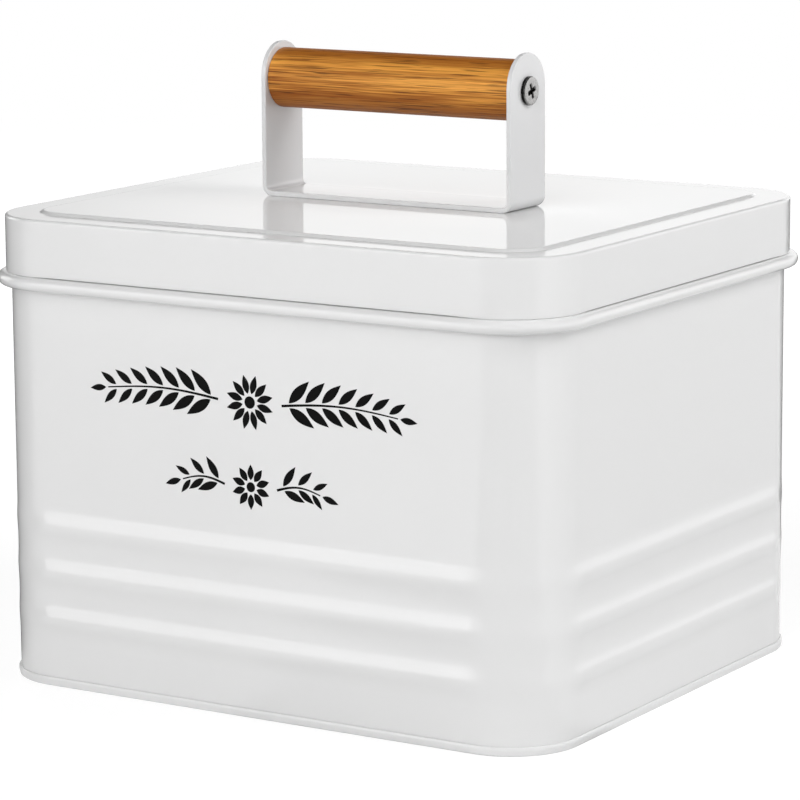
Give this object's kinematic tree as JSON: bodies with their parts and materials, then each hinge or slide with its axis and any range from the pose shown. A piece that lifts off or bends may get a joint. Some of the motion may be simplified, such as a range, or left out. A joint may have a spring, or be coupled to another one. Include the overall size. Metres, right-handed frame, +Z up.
{
  "type": "laundry pod tin",
  "caption": "Rounded-square sheet-steel storage tin with pressed ribs, a lift-off lid and a wooden bar handle on a bent strap.",
  "frame": {"origin": "on the ground, under the middle of the tin", "axes": "+X along the front and the grip, +Y from the front to the back, +Z up"},
  "size_m": [0.2088, 0.1838, 0.198],
  "materials": {
    "white_paint": "smooth gloss white enamel on sheet steel",
    "grip_wood": "straight-grained wood, stained orange brown, satin",
    "screw_steel": "plain zinc-plated steel",
    "black_print": "black screen-printed ink, flat on the paint"
  },
  "bodies": {
    "tin": {"tin_wall": "white_paint", "base_panel": "white_paint"},
    "lid": {"lid": "white_paint", "handle_bracket": "white_paint", "handle_grip": "grip_wood", "handle_screw_left": "screw_steel", "handle_screw_right": "screw_steel"}
  },
  "joints": [
    {"name": "lid_lift", "type": "slide", "parent": "tin", "child": "lid", "axis": [0, 0, 1], "range_m": [0, 0.15]}
  ]
}
